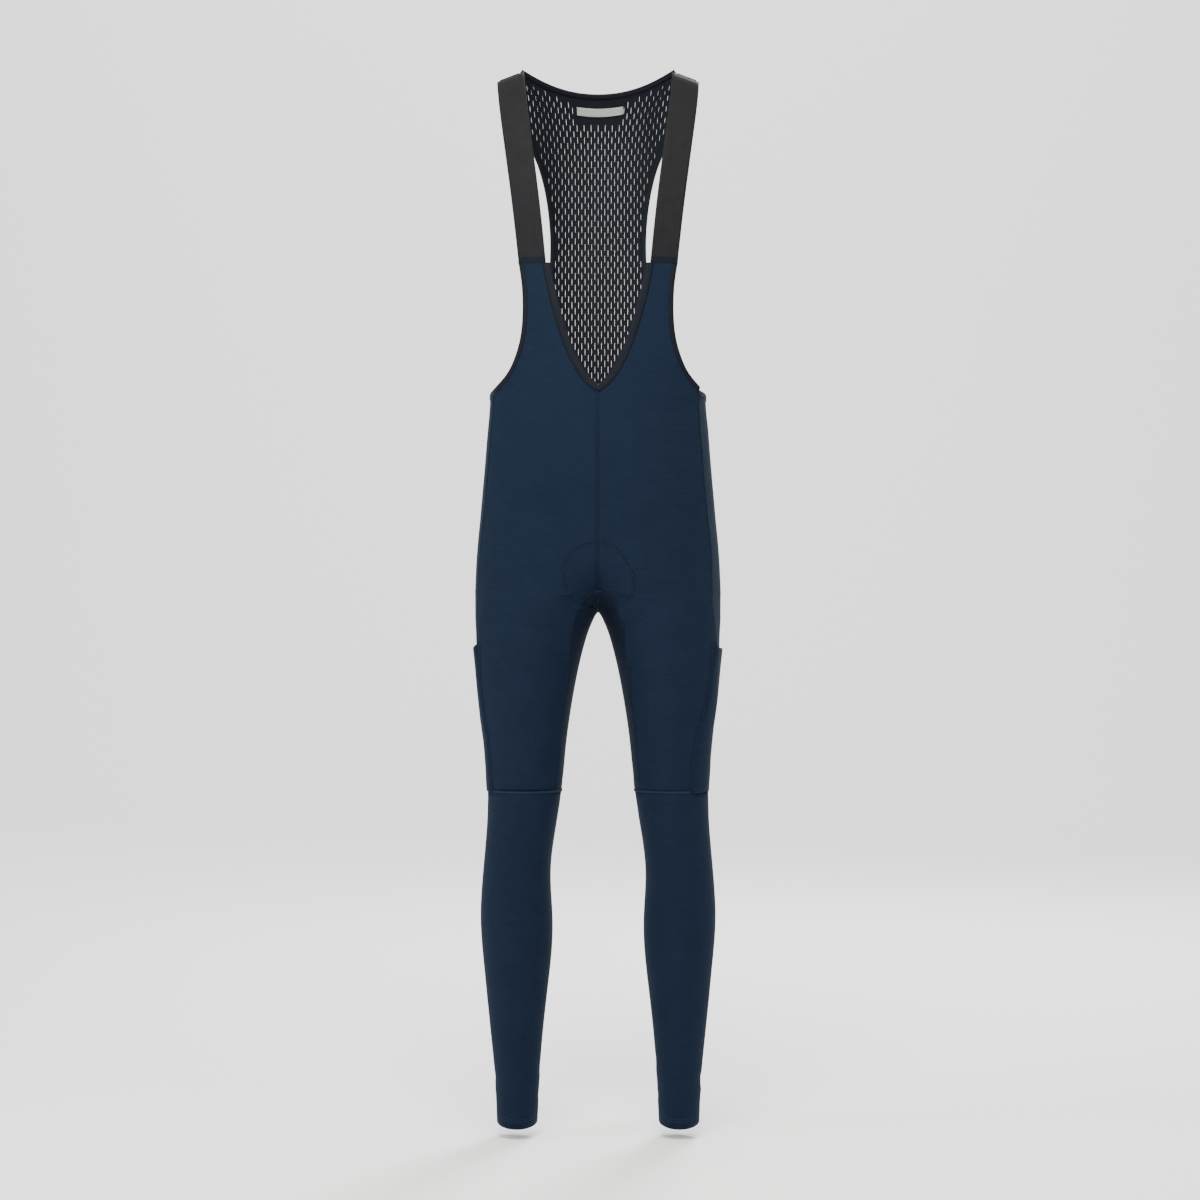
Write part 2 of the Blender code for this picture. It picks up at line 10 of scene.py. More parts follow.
import bpy
import numpy as np
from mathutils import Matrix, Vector
from mathutils.bvhtree import BVHTree
from mathutils.kdtree import KDTree


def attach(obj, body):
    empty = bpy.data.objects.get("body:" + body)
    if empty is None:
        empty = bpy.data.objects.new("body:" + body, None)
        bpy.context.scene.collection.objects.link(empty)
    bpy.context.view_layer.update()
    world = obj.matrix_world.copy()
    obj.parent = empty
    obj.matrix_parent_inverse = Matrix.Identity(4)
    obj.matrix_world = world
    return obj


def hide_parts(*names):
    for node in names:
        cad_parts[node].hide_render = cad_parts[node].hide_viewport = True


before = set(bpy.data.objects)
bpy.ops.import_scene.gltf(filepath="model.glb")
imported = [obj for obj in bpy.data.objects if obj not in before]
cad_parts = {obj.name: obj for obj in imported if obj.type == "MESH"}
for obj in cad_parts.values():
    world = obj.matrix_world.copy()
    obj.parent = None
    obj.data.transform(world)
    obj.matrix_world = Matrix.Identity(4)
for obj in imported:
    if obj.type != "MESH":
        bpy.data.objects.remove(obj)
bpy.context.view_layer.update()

# %% [markdown]
# ## Helpers for selecting and shaping
# Operators act on what is selected, so the first helper clears the selection and picks one
# piece. Points are read and written as arrays, which is far quicker than one at a time.


# %% Selecting
def only(piece):
    bpy.ops.object.select_all(action="DESELECT")
    piece.select_set(True)
    bpy.context.view_layer.objects.active = piece


def add_object(name, mesh):
    piece = bpy.data.objects.new(name, mesh)
    bpy.context.scene.collection.objects.link(piece)
    return piece


def points_of(piece):
    flat = np.zeros(len(piece.data.vertices) * 3, np.float32)
    piece.data.vertices.foreach_get("co", flat)
    return flat.reshape(-1, 3).astype(float)


def set_points(piece, points):
    piece.data.vertices.foreach_set("co", points.astype(np.float32).ravel())
    piece.data.update()


# %% [markdown]
# ## A shell from a solid
# The solids are exact but coarse. A panel could be modelled anew, but then it might stray from
# the cut that was packed. A copy is loose triangles; merging its points and joining them to quads
# gives a clean cage that a subdivision surface can follow. The edges of the rim are creased
# first, or they would round off and open the seams.

# %% Copying a solid as a smooth shell
MERGE = 0.00002
RIM_ANGLE = math.radians(52)
QUAD_TURN = math.radians(40)
QUAD_SKEW = math.radians(80)
FINE_LEVELS = 2


def shell_of(node, name):
    """A fine copy of a solid that keeps its square rim."""
    piece = add_object(name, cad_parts[node].data.copy())
    only(piece)
    bpy.ops.object.mode_set(mode="EDIT")
    bpy.ops.mesh.select_mode(type="VERT")
    bpy.ops.mesh.select_all(action="SELECT")
    bpy.ops.mesh.remove_doubles(threshold=MERGE)
    bpy.ops.mesh.tris_convert_to_quads(face_threshold=QUAD_TURN, shape_threshold=QUAD_SKEW)
    bpy.ops.mesh.select_all(action="DESELECT")
    bpy.ops.mesh.select_mode(type="EDGE")
    bpy.ops.mesh.edges_select_sharp(sharpness=RIM_ANGLE)
    bpy.ops.transform.edge_crease(value=1.0)
    bpy.ops.object.mode_set(mode="OBJECT")
    smooth = piece.modifiers.new("smooth", "SUBSURF")
    smooth.levels = FINE_LEVELS
    smooth.render_levels = FINE_LEVELS
    bpy.ops.object.modifier_apply(modifier=smooth.name)
    bpy.ops.object.shade_smooth_by_angle(angle=RIM_ANGLE)
    return piece


# %% [markdown]
# ## Creases
# Tight knitted cloth has few folds, but where it bends it never lies quite smooth: behind the
# knees, under the seat, at the fork and above the hems. Each crease is a soft trough with a low
# lip beside it, listed one by one. Moving every point by one shared field keeps neighbouring
# panels together at their seams, which a crease modelled on each panel alone would not. The
# creases fade out toward the middle of the body, where the two legs' fields would meet. A cloth
# simulation could fold them too, but nobody is inside to pull the cloth tight.

# %% The field of creases
LEG_AXIS = {
    "drop": (0.0, 0.60, 0.70, 0.79, 0.96, 1.11, 1.42),
    "x": (0.0, 0.0, 0.062, 0.094, 0.098, 0.110, 0.109),
    "y": (0.0, 0.004, 0.012, 0.001, -0.010, 0.008, 0.030),
}

# Each row: side of the body, angle round the leg or trunk in degrees (0 out to the side, -90 to
# the front), drop, length, width and depth in metres, and the slant of its run in degrees.
CREASES = (
    ("left", 84, 0.945, 0.050, 0.0075, 0.0022, 6),
    ("left", 96, 0.968, 0.042, 0.0065, 0.0026, -4),
    ("left", 78, 0.993, 0.046, 0.0080, 0.0020, 9),
    ("left", 102, 1.016, 0.034, 0.0070, 0.0014, -10),
    ("right", 92, 0.938, 0.044, 0.0070, 0.0020, -7),
    ("right", 82, 0.962, 0.050, 0.0080, 0.0026, 5),
    ("right", 98, 0.988, 0.040, 0.0065, 0.0022, -3),
    ("right", 86, 1.012, 0.036, 0.0080, 0.0013, 12),
    ("left", 100, 0.752, 0.060, 0.0100, 0.0022, 12),
    ("left", 90, 0.780, 0.048, 0.0090, 0.0013, 4),
    ("right", 98, 0.758, 0.056, 0.0100, 0.0024, 9),
    ("right", 84, 0.790, 0.044, 0.0080, 0.0012, -5),
    ("left", -122, 0.722, 0.036, 0.0080, 0.0014, -34),
    ("left", -104, 0.742, 0.046, 0.0090, 0.0010, -22),
    ("right", -120, 0.728, 0.040, 0.0080, 0.0013, -30),
    ("right", -100, 0.752, 0.042, 0.0090, 0.0009, -18),
    ("left", -112, 0.975, 0.020, 0.0040, 0.0008, -16),
    ("right", -104, 0.972, 0.022, 0.0042, 0.0010, -22),
    ("right", -78, 0.980, 0.018, 0.0038, 0.0007, 14),
    ("left", -60, 1.352, 0.030, 0.0070, 0.0009, 10),
    ("left", -120, 1.376, 0.028, 0.0060, 0.0008, -8),
    ("left", 60, 1.364, 0.034, 0.0070, 0.0013, 7),
    ("left", 120, 1.338, 0.030, 0.0070, 0.0012, -9),
    ("right", -80, 1.368, 0.028, 0.0060, 0.0009, -6),
    ("right", -130, 1.346, 0.030, 0.0070, 0.0008, 9),
    ("right", 70, 1.350, 0.034, 0.0070, 0.0013, -7),
    ("right", 110, 1.378, 0.030, 0.0060, 0.0011, 8),
    ("left", 20, 0.500, 0.060, 0.0120, 0.0014, 24),
    ("left", 34, 0.540, 0.048, 0.0110, 0.0011, 18),
    ("right", 24, 0.508, 0.056, 0.0120, 0.0013, 22),
    ("right", 38, 0.556, 0.044, 0.0110, 0.0010, 15),
    ("left", -62, 0.610, 0.052, 0.0130, 0.0008, -26),
    ("right", -60, 0.600, 0.050, 0.0130, 0.0008, -24),
    ("left", 70, 1.200, 0.040, 0.0120, 0.0010, 60),
    ("right", 74, 1.210, 0.044, 0.0120, 0.0010, -58),
    ("left", -20, 0.855, 0.034, 0.0050, 0.0009, 74),
    ("right", -12, 0.865, 0.030, 0.0050, 0.0008, -72),
)
SIGN = {"left": 1.0, "right": -1.0}
CREASE_STRENGTH = 1.9
CREASE_BOW = 0.12
LIP_HEIGHT = 0.55
LIP_AWAY = 1.7
CALM_MIDDLE = 0.035


def axis_at(drop, side_sign):
    x = np.interp(drop, LEG_AXIS["drop"], LEG_AXIS["x"]) * side_sign
    y = np.interp(drop, LEG_AXIS["drop"], LEG_AXIS["y"])
    return x, y


def outward(points):
    """The direction away from the middle of the leg or trunk at each point."""
    side_sign = np.where(points[:, 0] < 0, -1.0, 1.0)
    x, y = axis_at(-points[:, 2], side_sign)
    away = np.stack([points[:, 0] - x, points[:, 1] - y, np.zeros(len(points))], axis=1)
    return away / np.maximum(np.linalg.norm(away, axis=1, keepdims=True), 1e-6)


def crease_depth(points):
    """How far the creases move each point outward: less than zero in a trough."""
    total = np.zeros(len(points))
    side_sign = np.where(points[:, 0] < 0, -1.0, 1.0)
    x, y = axis_at(-points[:, 2], side_sign)
    across, ahead = (points[:, 0] - x) * side_sign, points[:, 1] - y
    angle = np.arctan2(ahead, across)
    radius = np.hypot(across, ahead)
    for side, at, drop, length, width, depth, slant in CREASES:
        turn = (angle - math.radians(at) + math.pi) % (2 * math.pi) - math.pi
        over, down = turn * radius, -points[:, 2] - drop
        lean = math.radians(slant)
        along = over * math.cos(lean) + down * math.sin(lean)
        beside = down * math.cos(lean) - over * math.sin(lean) + CREASE_BOW * along * along / length
        run = np.exp(-((along / length) ** 2)) * (side_sign == SIGN[side])
        trough = np.exp(-((beside / width) ** 2))
        lip = LIP_HEIGHT * np.exp(-(((beside - LIP_AWAY * width) / width) ** 2))
        total += depth * run * (lip - trough)
    away_from_middle = np.clip(np.abs(points[:, 0]) / CALM_MIDDLE, 0, 1)
    return total * away_from_middle * CREASE_STRENGTH


def crease(piece):
    points = points_of(piece)
    set_points(piece, points + outward(points) * crease_depth(points)[:, None])


# %% [markdown]
# ## Finishes
# Each finish is built from a few small nodes. They read Object coordinates, so no picture is
# needed and a pattern keeps its true size from one piece to the next.


# %% Material helpers
def new_material(name, colour, roughness):
    material = bpy.data.materials.new(name)
    material.use_nodes = True
    shader = material.node_tree.nodes["Principled BSDF"]
    shader.inputs["Base Color"].default_value = (*colour, 1)
    shader.inputs["Roughness"].default_value = roughness
    return material, material.node_tree.nodes, material.node_tree.links, shader


def noise(nodes, links, vector, scale, detail=3.0):
    node = nodes.new("ShaderNodeTexNoise")
    node.inputs["Scale"].default_value = scale
    node.inputs["Detail"].default_value = detail
    links.new(vector, node.inputs["Vector"])
    return node.outputs["Fac"]


def stretched(nodes, links, vector, scale):
    node = nodes.new("ShaderNodeMapping")
    node.inputs["Scale"].default_value = scale
    links.new(vector, node.inputs["Vector"])
    return node.outputs["Vector"]


def wave(nodes, links, vector, scale, direction, distortion=0.0):
    node = nodes.new("ShaderNodeTexWave")
    node.bands_direction = direction
    node.inputs["Scale"].default_value = scale
    node.inputs["Distortion"].default_value = distortion
    links.new(vector, node.inputs["Vector"])
    return node.outputs["Fac"]


def blend_colours(nodes, links, factor, low, high):
    node = nodes.new("ShaderNodeMix")
    node.data_type = "RGBA"
    node.inputs["A"].default_value = (*low, 1)
    node.inputs["B"].default_value = (*high, 1)
    links.new(factor, node.inputs["Factor"])
    return node.outputs["Result"]


def combine(nodes, links, operation, first, second):
    node = nodes.new("ShaderNodeMath")
    node.operation = operation
    for socket, value in zip(node.inputs, (first, second)):
        if isinstance(value, (int, float)):
            socket.default_value = value
        else:
            links.new(value, socket)
    return node.outputs["Value"]


def bump(nodes, links, height, strength, distance, shader):
    node = nodes.new("ShaderNodeBump")
    node.inputs["Strength"].default_value = strength
    node.inputs["Distance"].default_value = distance
    links.new(height, node.inputs["Height"])
    links.new(node.outputs["Normal"], shader.inputs["Normal"])


# %% [markdown]
# A brushed thermal knit is matt, but its short nap catches light that grazes it, so the edges of
# each leg look paler and greener than its middle. A Principled shader's sheen does just that. The
# knit itself is a fine bump of level rows of stitches, broken up by noise.

# %% The thermal knit
ROW_SCALE = 900 / 6.3
CLOUD_SCALE = 26
FLECK_SCALE = 1400
SLUB_STRETCH = (38, 38, 620)
NAP_TINT = (0.22, 0.55, 0.72, 1)


def mixed_by(nodes, links, first, second, share):
    """Two values mixed, with the second one's share given."""
    return combine(nodes, links, "ADD", combine(nodes, links, "MULTIPLY", first, 1 - share),
                   combine(nodes, links, "MULTIPLY", second, share))


def thermal_knit(name, low, high, sheen):
    """Brushed knit: fine rows of stitches, a clouded nap and a sheen where light grazes it."""
    material, nodes, links, shader = new_material(name, high, 0.78)
    place = nodes.new("ShaderNodeTexCoord").outputs["Object"]
    cloud = noise(nodes, links, place, CLOUD_SCALE, 4)
    fleck = noise(nodes, links, place, FLECK_SCALE, 2)
    slub = noise(nodes, links, stretched(nodes, links, place, SLUB_STRETCH), 1, 2)
    mottle = mixed_by(nodes, links, mixed_by(nodes, links, cloud, fleck, 0.4), slub, 0.45)
    links.new(blend_colours(nodes, links, mottle, low, high), shader.inputs["Base Color"])
    rows = wave(nodes, links, place, ROW_SCALE, "Z", 1.5)
    height = combine(nodes, links, "ADD", rows, combine(nodes, links, "MULTIPLY", fleck, 1.6))
    bump(nodes, links, height, 0.30, 0.00025, shader)
    shader.inputs["Sheen Weight"].default_value = sheen
    shader.inputs["Sheen Roughness"].default_value = 0.62
    shader.inputs["Sheen Tint"].default_value = NAP_TINT
    shader.inputs["Specular IOR Level"].default_value = 0.05
    return material


navy_knit = thermal_knit("navy_thermal_knit", (0.0022, 0.0044, 0.0122), (0.0062, 0.0115, 0.0256), 0.016)
dark_knit = thermal_knit("dark_inner_leg_knit", (0.0025, 0.0042, 0.0108), (0.0058, 0.0092, 0.0210), 0.012)
pocket_knit = thermal_knit("navy_pocket_knit", (0.0021, 0.0043, 0.0120), (0.0061, 0.0113, 0.0252), 0.016)
# The knee ridges get a paler copy of the navy knit, a painted highlight along the top of each ridge.
painted_highlight_knit = thermal_knit("navy_painted_highlight_knit", (0.0060, 0.0115, 0.0270), (0.0130, 0.0225, 0.0480), 0.020)
print("thermal knits made")


# %% [markdown]
# ## Elastic, tape and net finishes
# The strap is ribbed elastic webbing, so its bump is fine cords running along it. The bindings
# are folded tape with a fine grain. The net is a smooth black warp knit.

# %% Elastic, tape, net, thread and label materials
def woven(name, low, high, roughness, scale, direction, strength, sheen=0.004):
    """Fine cords across or down the cloth, clouded a little in colour."""
    material, nodes, links, shader = new_material(name, high, roughness)
    place = nodes.new("ShaderNodeTexCoord").outputs["Object"]
    cords = wave(nodes, links, place, scale, direction, 0.6)
    cloud = noise(nodes, links, place, 60, 3)
    mixed = combine(nodes, links, "MULTIPLY", cords, cloud)
    links.new(blend_colours(nodes, links, mixed, low, high), shader.inputs["Base Color"])
    bump(nodes, links, cords, strength, 0.0002, shader)
    shader.inputs["Sheen Weight"].default_value = sheen
    shader.inputs["Specular IOR Level"].default_value = 0.08
    return material


elastic = woven("charcoal_elastic", (0.0064, 0.0060, 0.0073), (0.0150, 0.0142, 0.0170), 0.82, 150, "X",
                0.3, 0.01)
black_tape = woven("black_tape", (0.0024, 0.0030, 0.0052), (0.0055, 0.0066, 0.0108), 0.6, 240, "Z", 0.25)
slate_tape = woven("slate_tape", (0.0026, 0.0035, 0.0068), (0.0052, 0.0069, 0.0126), 0.6, 240, "Z", 0.25)
net_knit = woven("black_net_knit", (0.0025, 0.0032, 0.0056), (0.0056, 0.0068, 0.0112), 0.7, 300, "Z", 0.3)
navy_thread = woven("navy_thread", (0.0095, 0.0170, 0.0370), (0.0180, 0.0300, 0.0620), 0.55, 500, "Z", 0.2)
black_thread = woven("black_thread", (0.006, 0.006, 0.008), (0.014, 0.014, 0.018), 0.55, 500, "Z", 0.2)
label_weave = woven("grey_label_weave", (0.20, 0.20, 0.205), (0.31, 0.31, 0.32), 0.75, 420, "X", 0.3)
print("tapes, elastic, net, thread and label made")


# %% [markdown]
# ## Finishing a piece
# Each piece gets one finish all over and rides on the root body, and the solids that it stands
# for are hidden. One helper does all three, so that none is forgotten.

# %% Give a piece its finish
def give(piece, material, slot, *nodes):
    """One finish all over, the solid that the piece stands for, and the body it rides on."""
    piece.data.materials.clear()
    piece.data.materials.append(material)
    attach(piece, "root")
    if nodes:
        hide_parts(*nodes)


# %% [markdown]
# ## The knitted panels
# A maker cuts two fronts, two backs, one inner-leg panel for both legs and two lower legs. Each
# shell starts from its solid, so it keeps its cut edges 0.3 mm from the next piece. Two levels
# of subdivision give faces 4 to 9 mm wide, fine enough for the creases. Each row of the table
# gives the knit, the cut's width and length, and the area of it that shows, in metres.

# %% Make the panels
PANELS = {
    "front_left": ("navy", 0.20, 0.71, 0.089),
    "front_right": ("navy", 0.21, 0.71, 0.098),
    "back_left": ("navy", 0.26, 0.56, 0.127),
    "back_right": ("navy", 0.25, 0.56, 0.119),
    "gusset": ("dark", 0.24, 0.62, 0.062),
    "lower_leg_left": ("navy", 0.345, 0.46, 0.128),
    "lower_leg_right": ("navy", 0.345, 0.46, 0.128),
    "pocket_left": ("pocket", 0.135, 0.20, 0.0252),
    "pocket_right": ("pocket", 0.110, 0.20, 0.0205),
}
KNITS = {
    "navy": (navy_knit, "thermal_navy"),
    "dark": (dark_knit, "thermal_dark"),
    "pocket": (pocket_knit, "thermal_navy"),
}
shells = {}
for node, (knit, width, length, cut_area) in PANELS.items():
    shell = shell_of(node, f"cloth_{node}")
    crease(shell)
    give(shell, KNITS[knit][0], KNITS[knit][1], node)
    shells[node] = shell
print("panels:", len(shells), "faces:", sum(len(s.data.polygons) for s in shells.values()))

# %% [markdown]
# ## Straps and bindings
# The straps are flat elastic with square edges. The bindings are tape folded over a raw edge.
# They are swollen a little, so that no light comes between them and the cloth that they hold.

# %% Make the straps and bindings
for side in SIGN:
    strap = shell_of(f"strap_{side}", f"elastic_strap_{side}")
    give(strap, elastic, "elastic_charcoal", f"strap_{side}")
    shells[f"strap_{side}"] = strap

TAPES = {
    "binding_arm_left": (black_tape, "binding_black", 0.012, 1.07, 0.0065),
    "binding_arm_right": (black_tape, "binding_black", 0.012, 1.07, 0.0065),
    "binding_neck_back": (black_tape, "binding_black", 0.014, 0.31, 0.0023),
    "binding_neck_front": (slate_tape, "binding_slate", 0.018, 0.44, 0.0043),
}
TAPE_SWELL = 0.00035


def swell(piece, amount):
    """Move each point out along its normal."""
    normals = np.array([vertex.normal[:] for vertex in piece.data.vertices])
    set_points(piece, points_of(piece) + normals * amount)


for node, (tape, slot, width, length, shown) in TAPES.items():
    strip = shell_of(node, f"tape_{node}")
    swell(strip, TAPE_SWELL)
    give(strip, tape, slot, node)
    shells[node] = strip
print("straps and bindings made")

# %% [markdown]
# ## The perforated back
# The back is a net with long narrow holes in offset columns, and it is the only panel that light
# comes through. Bump cannot show that, so each hole is a real opening: a small tile with a long
# hole is repeated down each column, every second column is shifted by half a tile, and the
# panel's outline cuts the columns off. The columns run nearly straight and are even along the
# cloth, so the holes keep their length where the back curves over the shoulders. All sizes of
# the back are in millimetres.

# %% Sizes of the back, as cut
BACK_ROWS = {
    "names": ("drop", "middle_y", "line_x", "line_y", "line_drop", "edge_x", "edge_y", "edge_drop"),
    "rows": (
        (25, 80, 105, 8, 2.8, 130, 8, 12.4),
        (50, 92, 90, 42, 29, 114, 36, 41),
        (78, 101, 75, 70, 60, 97.5, 58, 70),
        (106, 105, 64, 87, 91, 84.5, 73, 96),
        (134, 107, 55, 96, 121, 74, 84, 121),
        (170, 108, 48, 101, 164, 64, 93, 164),
        (216, 106, 44.5, 101, 216, 59.3, 96, 216),
        (270, 99, 45.5, 95.5, 270, 61, 91, 270),
        (330, 92, 55, 88.5, 330, 74, 84, 330),
        (367, 87.5, 67, 81, 367, 89.5, 74.5, 367),
        (404, 84, 82, 73, 404, 109, 60.5, 404),
        (450, 82, 95.5, 64.5, 450, 127, 42.4, 450),
    ),
}
MM = 0.001


def read_row(name, at):
    """A smooth reading of one named column, with no overshoot between the rows."""
    rows = np.array(BACK_ROWS["rows"], float)
    x, y = rows[:, 0], rows[:, BACK_ROWS["names"].index(name)]
    step = np.diff(x)
    rise = np.diff(y) / step
    product = rise[:-1] * rise[1:]
    total = np.where(product > 0, rise[:-1] + rise[1:], 1)
    slope = np.concatenate([rise[:1], np.where(product > 0, 2 * product / total, 0), rise[-1:]])
    i = np.clip(np.searchsorted(x, at, side="right") - 1, 0, len(step) - 1)
    t = (at - x[i]) / step[i]
    curve = y[i] + (at - x[i]) * rise[i]
    return curve + t * (1 - t) * step[i] * ((slope[i] - rise[i]) * (1 - t) - (slope[i + 1] - rise[i]) * t)


def back_point(x, row):
    """Points of the back at distance x from its middle on one row, in millimetres."""
    line = np.stack([read_row(f"line_{n}", row) for n in ("x", "y", "drop")], axis=1)
    edge = np.stack([read_row(f"edge_{n}", row) for n in ("x", "y", "drop")], axis=1)
    middle = np.stack([np.zeros(len(row)), read_row("middle_y", row), row], axis=1)
    size = np.abs(x)
    t = np.minimum(size / line[:, 0], 1)[:, None] ** np.array([[1.0, 2.4, 2.0]])
    u = np.maximum((size - line[:, 0]) / (edge[:, 0] - line[:, 0]), 0)[:, None]
    points = middle + (line - middle) * t + (edge - line) * u
    points[:, 0] *= np.sign(x)
    points[:, 2] *= -1
    return points


# %% [markdown]
# The rows of holes are spaced along the cloth and not by height, because the back leans forward
# at the shoulders and holes spaced by height would grow long there. A table of lengths down each
# column turns a length of cloth back into a place.

# %% The lattice of the back
COLUMN_PITCH = 4.5
TILE_LENGTH = 16.3
EVEN_ROW = 216
FAN = 0.17
FAN_ROWS = (145, 20)
TUCK = 1.2
TOP_ROW = BACK_ROWS["rows"][0][0] - TUCK
LOW_ROW = BACK_ROWS["rows"][-1][0]
TABLE_ROWS = np.linspace(TOP_ROW, LOW_ROW, 160)
LAST_COLUMN = 29


def column_x(column, row):
    """The columns run nearly straight and spread a little toward the shoulders."""
    t = np.clip((FAN_ROWS[0] - row) / (FAN_ROWS[0] - FAN_ROWS[1]), 0, 1)
    return column * COLUMN_PITCH * (1 + FAN * t * t)


def column_lengths(column):
    """The length of cloth down one column at each row of the table, nil at the even row."""
    places = back_point(column_x(column, TABLE_ROWS), TABLE_ROWS)
    steps = np.linalg.norm(np.diff(places, axis=0), axis=1)
    along = np.concatenate([[0], np.cumsum(steps)])
    return along - np.interp(EVEN_ROW, TABLE_ROWS, along)


LENGTHS = {half: column_lengths(half / 2) for half in range(-2 * LAST_COLUMN - 1, 2 * LAST_COLUMN + 2)}


def lattice_row(column, length):
    """The row that lies this far down the cloth of a column."""
    low = math.floor(column * 2)
    share = column * 2 - low
    first = np.interp(length, LENGTHS[low], TABLE_ROWS)
    second = np.interp(length, LENGTHS[min(low + 1, 2 * LAST_COLUMN + 1)], TABLE_ROWS)
    return first + (second - first) * share


# %% [markdown]
# Cutting hundreds of slits with a boolean would be slow and leave poor faces. Each tile is
# instead a ring of eight points round a slit of eight, which gives clean quads, and a Solidify
# modifier gives the sheet its thickness. Tiles behind and above the label stay whole.

# %% Lay the tiles
RING = ((-1, -1), (0, -1), (1, -1), (1, 0), (1, 1), (0, 1), (-1, 1), (-1, 0))
SLIT = ((-0.68, -0.72), (0, -1), (0.68, -0.72), (1, 0), (0.68, 0.72), (0, 1), (-0.68, 0.72), (-1, 0))
SLIT_LENGTH_SHARE = 0.66
SLIT_WIDTH_SHARE = (0.08, 0.12)
SLIT_WIDE_AT = 45
EDGE_MARGIN = 0.8
LABEL_PLAIN = (33, 20, 54)


def lattice_points(shape, column, middle):
    """Places of a ring or slit about one tile's middle, and how far inside the edge they are."""
    rows = np.array([float(lattice_row(column + a / 2, middle + b * TILE_LENGTH / 2)) for a, b in shape])
    x = np.array([column_x(column + a / 2, row) for (a, _), row in zip(shape, rows)])
    limit = read_row("edge_x", rows)
    inside = limit - np.abs(x)
    kept = np.sign(x) * np.minimum(np.abs(x), limit + TUCK)
    return back_point(kept, rows), inside, x, rows


def slit_shape(column):
    t = min(abs(column * COLUMN_PITCH) / SLIT_WIDE_AT, 1)
    width = SLIT_WIDTH_SHARE[0] + (SLIT_WIDTH_SHARE[1] - SLIT_WIDTH_SHARE[0]) * t
    return [(a * width, b * SLIT_LENGTH_SHARE) for a, b in SLIT]


def takes_slit(column, inside, x, rows):
    """A tile is cut where its slit lies whole inside the panel and clear of the label."""
    if min(inside) < EDGE_MARGIN or min(rows) < TOP_ROW + 2 * TUCK or max(rows) > LOW_ROW - TUCK:
        return False
    beside, above, below = LABEL_PLAIN
    return not (max(abs(x)) < beside and max(rows) > above and min(rows) < below)


def net_tiles():
    """Places and faces of all tiles, each a ring of eight points with or without a slit."""
    points, faces = [], []
    for column in range(-LAST_COLUMN, LAST_COLUMN + 1):
        lengths = LENGTHS[column * 2]
        first = math.floor(lengths[0] / TILE_LENGTH) - 1
        last = math.ceil(lengths[-1] / TILE_LENGTH) + 1
        for tile in range(first, last):
            middle = (tile + 0.5 + 0.5 * (column % 2)) * TILE_LENGTH
            if middle + TILE_LENGTH / 2 < lengths[0] or middle - TILE_LENGTH / 2 > lengths[-1]:
                continue
            ring_places, inside, _, _ = lattice_points(RING, column, middle)
            if max(inside) < 0:
                continue
            base = len(points)
            points += list(ring_places)
            slit_places, inside, x, rows = lattice_points(slit_shape(column), column, middle)
            if not takes_slit(column, inside, x, rows):
                faces.append([base + k for k in range(8)])
                continue
            points += list(slit_places)
            for k in range(8):
                n = (k + 1) % 8
                faces.append([base + k, base + n, base + 8 + n, base + 8 + k])
    return np.array(points) * MM, faces


NET_THICKNESS = 0.0006
NET_SMOOTH = math.radians(40)
net_places, tile_faces = net_tiles()
net_mesh = bpy.data.meshes.new("net")
net_mesh.from_pydata([tuple(p) for p in net_places], [], tile_faces)
net = add_object("perforated_back", net_mesh)
only(net)
bpy.ops.object.mode_set(mode="EDIT")
bpy.ops.mesh.select_all(action="SELECT")
bpy.ops.mesh.remove_doubles(threshold=MERGE)
bpy.ops.mesh.dissolve_degenerate(threshold=MERGE)
bpy.ops.mesh.normals_make_consistent(inside=False)
bpy.ops.object.mode_set(mode="OBJECT")
thick = net.modifiers.new("thickness", "SOLIDIFY")
thick.thickness = NET_THICKNESS
thick.offset = 0
bpy.ops.object.modifier_apply(modifier=thick.name)
bpy.ops.object.shade_smooth_by_angle(angle=NET_SMOOTH)
give(net, net_knit, "mesh_black", "back_net")
net_area = sum(p.area for p in net.data.polygons) / 2
print("net faces:", len(net.data.polygons), "area:", round(net_area, 4))

# %% [markdown]
# ## The size label
# A small woven label is sewn inside the neck. A patch of colour on the net could stand for it,
# but a thin shell of its own has edges and a shadow. It is left bare.

# %% Make the label
label = shell_of("label", "bare_label")
give(label, label_weave, "label_grey", "label")

# %% [markdown]
# ## Finding the seams
# Each seam runs where two solids lie 0.3 mm apart. The points of one solid that are close to the
# other trace the seam, so the sewing is placed from the cut itself and not from a second list.

# %% Seam lines from neighbouring solids
NEAR_SEAM = 0.0012
SAME_PLACE = 0.0032


def node_points(node):
    flat = np.zeros(len(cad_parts[node].data.vertices) * 3, np.float32)
    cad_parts[node].data.vertices.foreach_get("co", flat)
    return np.unique(np.round(flat.reshape(-1, 3).astype(float), 5), axis=0)


def tree_of(points):
    tree = KDTree(len(points))
    for i, point in enumerate(points):
        tree.insert(point, i)
    tree.balance()
    return tree


def seam_points(first, second):
    """Points of the first solid that lie beside the second one."""
    beside = tree_of(node_points(second))
    points = node_points(first)
    return np.array([p for p in points if beside.find(p)[2] < NEAR_SEAM])


def seam_middle(first, second):
    """Points of both solids beside each other, which average to the middle of their seam."""
    return np.concatenate([seam_points(first, second), seam_points(second, first)])


def in_order(points, key):
    """A line through points that lie in small groups, one group at each place on a seam."""
    points = points[np.argsort(points[:, key])]
    line = [points[0]]
    count = 1
    for point in points[1:]:
        if np.linalg.norm(point - line[-1]) < SAME_PLACE:
            line[-1] = (line[-1] * count + point) / (count + 1)
            count += 1
        else:
            line.append(point)
            count = 1
    return np.array(line)


